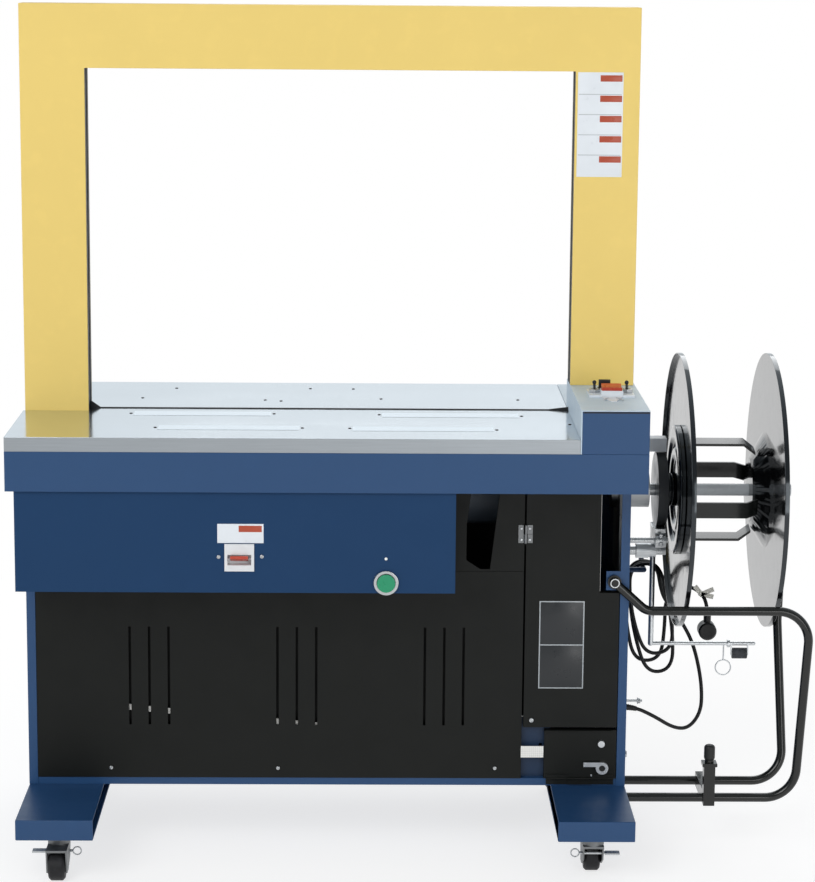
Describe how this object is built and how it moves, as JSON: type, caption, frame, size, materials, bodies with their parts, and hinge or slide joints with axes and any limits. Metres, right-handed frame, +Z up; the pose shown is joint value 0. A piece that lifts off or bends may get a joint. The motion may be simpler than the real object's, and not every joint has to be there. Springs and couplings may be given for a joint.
{
  "type": "arch strapping machine",
  "caption": "Arch strapping machine for parcels with a notched steel table, a cabinet on castors, an electrical box and a side strap reel with bent guard tubes.",
  "frame": {"origin": "middle of the machine's box on the floor, without the power cord", "axes": "+X to the operator's right, towards the reel; +Y away from the operator; +Z up"},
  "size_m": [1.3912, 0.6414, 1.48],
  "materials": {
    "blue_paint": "satin powder paint",
    "yellow_paint": "satin powder paint",
    "black_paint": "satin powder paint",
    "stainless": "brushed",
    "bare_steel": "bright turned",
    "zinc_steel": "bright zinc",
    "pale_cover": "satin",
    "track_plastic": "slightly worn",
    "motor_paint": "painted casting",
    "black_plastic": "fine grain",
    "white_plastic": "smooth",
    "red_plastic": "smooth",
    "green_plastic": "smooth",
    "caster_rubber": "smooth tread",
    "roller_rubber": "moulded",
    "cord_rubber": "flexible sheath",
    "reel_gloss": "gloss"
  },
  "bodies": {
    "machine": {"feet": "blue_paint", "base_pan": "blue_paint", "side_panel_left": "blue_paint", "side_panel_right": "blue_paint", "rear_panel": "black_paint", "front_panel": "black_paint", "hinge_panel": "black_paint", "door_hinge": "zinc_steel", "table_frame": "blue_paint", "corner_block": "blue_paint", "corner_cover": "pale_cover", "arch_leg_left": "yellow_paint", "arch_leg_right": "yellow_paint", "arch_beam": "yellow_paint", "strap_track": "track_plastic", "electrical_box": "blue_paint", "breaker": "white_plastic", "start_bezel": "zinc_steel", "switch_console": "zinc_steel", "hub_tube": "bare_steel", "guard_tube_front": "black_paint", "guard_tube_rear": "black_paint", "guard_clamp": "black_paint", "cord_gland": "black_plastic", "power_cord": "cord_rubber", "cord_hank": "cord_rubber", "plug": "black_plastic", "strap_pool_box": "zinc_steel", "head_frame": "bare_steel", "main_motor": "motor_paint"},
    "reel": {"reel_shaft": "bare_steel", "inner_flange": "reel_gloss", "outer_flange": "reel_gloss"},
    "door": {"door": "black_paint"},
    "pool_door": {"pool_door": "black_paint"},
    "pool_latch": {"pool_latch": "zinc_steel"},
    "table_front": {"table_front": "stainless"},
    "table_rear": {"table_rear": "stainless"},
    "breaker_toggle": {"breaker_toggle": "red_plastic"},
    "start_button": {"start_button": "green_plastic"},
    "mode_knob": {"mode_knob": "black_plastic"},
    "rocker": {"rocker": "red_plastic"},
    "toggle_left": {"toggle_left": "black_plastic"},
    "toggle_right": {"toggle_right": "black_plastic"},
    "brake_shoe": {"brake_shoe": "bare_steel"},
    "dancer_arm": {"dancer_arm": "zinc_steel"},
    "dancer_roller": {"dancer_roller": "roller_rubber"},
    "cam_shaft": {"cam_shaft": "bare_steel"},
    "feed_roller": {"feed_roller": "roller_rubber"},
    "pinch_roller": {"pinch_roller": "bare_steel"},
    "castor_front_left": {"castor_fork_front_left": "zinc_steel"},
    "wheel_front_left": {"castor_wheel_front_left": "caster_rubber"},
    "castor_front_right": {"castor_fork_front_right": "zinc_steel"},
    "wheel_front_right": {"castor_wheel_front_right": "caster_rubber"},
    "castor_rear_left": {"castor_fork_rear_left": "zinc_steel"},
    "wheel_rear_left": {"castor_wheel_rear_left": "caster_rubber"},
    "castor_rear_right": {"castor_fork_rear_right": "zinc_steel"},
    "wheel_rear_right": {"castor_wheel_rear_right": "caster_rubber"},
    "brake_front_left": {"castor_brake_front_left": "zinc_steel"},
    "brake_front_right": {"castor_brake_front_right": "zinc_steel"}
  },
  "joints": [
    {"name": "door_hinge", "type": "hinge", "parent": "machine", "child": "door", "pos_m": [0.18842, -0.12075, 0.576], "axis": [0, 0, -1], "range_deg": [0, 110]},
    {"name": "pool_door_hinge", "type": "hinge", "parent": "machine", "child": "pool_door", "pos_m": [0.28992, -0.12005, 0.1333], "axis": [1, 0, 0], "range_deg": [0, 90]},
    {"name": "pool_latch_turn", "type": "hinge", "parent": "pool_door", "child": "pool_latch", "pos_m": [0.32992, -0.11775, 0.154], "axis": [0, 1, 0], "range_deg": [0, 90]},
    {"name": "table_front_lift", "type": "hinge", "parent": "machine", "child": "table_front", "pos_m": [-0.15508, -0.26675, 0.745], "axis": [1, 0, 0], "range_deg": [0, 90]},
    {"name": "table_rear_lift", "type": "hinge", "parent": "machine", "child": "table_rear", "pos_m": [-0.15508, 0.31825, 0.745], "axis": [-1, 0, 0], "range_deg": [0, 90]},
    {"name": "breaker_switch", "type": "hinge", "parent": "machine", "child": "breaker_toggle", "pos_m": [-0.30308, -0.25375, 0.56], "axis": [1, 0, 0], "range_deg": [0, 40]},
    {"name": "start_press", "type": "slide", "parent": "machine", "child": "start_button", "axis": [0, 1, 0], "range_m": [0, 0.004], "stiffness_N_per_m": 800},
    {"name": "rocker_tilt", "type": "hinge", "parent": "machine", "child": "rocker", "pos_m": [0.33292, -0.11775, 0.829], "axis": [-1, 0, 0], "range_deg": [0, 14]},
    {"name": "mode_select", "type": "hinge", "parent": "machine", "child": "mode_knob", "pos_m": [0.32292, -0.08975, 0.824], "axis": [0, 0, -1], "range_deg": [0, 90]},
    {"name": "toggle_left_flip", "type": "hinge", "parent": "machine", "child": "toggle_left", "pos_m": [0.30492, -0.09975, 0.824], "axis": [1, 0, 0], "range_deg": [0, 28]},
    {"name": "toggle_right_flip", "type": "hinge", "parent": "machine", "child": "toggle_right", "pos_m": [0.36092, -0.09975, 0.824], "axis": [1, 0, 0], "range_deg": [0, 28]},
    {"name": "reel_spin", "type": "hinge", "parent": "machine", "child": "reel", "pos_m": [0.54492, 0.07325, 0.618], "axis": [1, 0, 0], "continuous": true},
    {"name": "dancer_swing", "type": "hinge", "parent": "machine", "child": "dancer_arm", "pos_m": [0.41192, 0.07325, 0.505], "axis": [-1, 0, 0], "range_deg": [0, 40]},
    {"name": "brake_swing", "type": "hinge", "parent": "machine", "child": "brake_shoe", "pos_m": [0.43892, 0.02025, 0.535], "axis": [-1, 0, 0], "range_deg": [0, 6]},
    {"name": "dancer_roller_spin", "type": "hinge", "parent": "dancer_arm", "child": "dancer_roller", "pos_m": [0.59492, 0.07325, 0.313], "axis": [1, 0, 0], "continuous": true},
    {"name": "cam_turn", "type": "hinge", "parent": "machine", "child": "cam_shaft", "pos_m": [-0.15508, 0.02825, 0.62], "axis": [1, 0, 0], "continuous": true},
    {"name": "feed_turn", "type": "hinge", "parent": "machine", "child": "feed_roller", "pos_m": [-0.39508, 0.02825, 0.65], "axis": [0, 1, 0], "continuous": true},
    {"name": "pinch_turn", "type": "hinge", "parent": "machine", "child": "pinch_roller", "pos_m": [-0.45048, 0.02825, 0.65], "axis": [0, 1, 0], "continuous": true},
    {"name": "castor_front_left_swivel", "type": "hinge", "parent": "machine", "child": "castor_front_left", "pos_m": [-0.61583, -0.24775, 0.07], "axis": [0, 0, 1], "continuous": true},
    {"name": "wheel_front_left_roll", "type": "hinge", "parent": "castor_front_left", "child": "wheel_front_left", "pos_m": [-0.61583, -0.27775, 0.025], "axis": [-1, 0, 0], "continuous": true},
    {"name": "brake_front_left_press", "type": "hinge", "parent": "castor_front_left", "child": "brake_front_left", "pos_m": [-0.61583, -0.24575, 0.041], "axis": [1, 0, 0], "range_deg": [0, 25]},
    {"name": "castor_front_right_swivel", "type": "hinge", "parent": "machine", "child": "castor_front_right", "pos_m": [0.30567, -0.24775, 0.07], "axis": [0, 0, 1], "continuous": true},
    {"name": "wheel_front_right_roll", "type": "hinge", "parent": "castor_front_right", "child": "wheel_front_right", "pos_m": [0.30567, -0.21775, 0.025], "axis": [1, 0, 0], "continuous": true},
    {"name": "brake_front_right_press", "type": "hinge", "parent": "castor_front_right", "child": "brake_front_right", "pos_m": [0.30567, -0.24975, 0.041], "axis": [-1, 0, 0], "range_deg": [0, 25]},
    {"name": "castor_rear_left_swivel", "type": "hinge", "parent": "machine", "child": "castor_rear_left", "pos_m": [-0.61583, 0.23425, 0.07], "axis": [0, 0, 1], "continuous": true},
    {"name": "wheel_rear_left_roll", "type": "hinge", "parent": "castor_rear_left", "child": "wheel_rear_left", "pos_m": [-0.61583, 0.26425, 0.025], "axis": [1, 0, 0], "continuous": true},
    {"name": "castor_rear_right_swivel", "type": "hinge", "parent": "machine", "child": "castor_rear_right", "pos_m": [0.30567, 0.23425, 0.07], "axis": [0, 0, 1], "continuous": true},
    {"name": "wheel_rear_right_roll", "type": "hinge", "parent": "castor_rear_right", "child": "wheel_rear_right", "pos_m": [0.27567, 0.23425, 0.025], "axis": [0, 1, 0], "continuous": true}
  ],
  "couplings": [
    {"joint": "brake_swing", "follows": "dancer_swing", "ratio": 0.15},
    {"joint": "pinch_turn", "follows": "feed_turn", "ratio": -1.75}
  ]
}
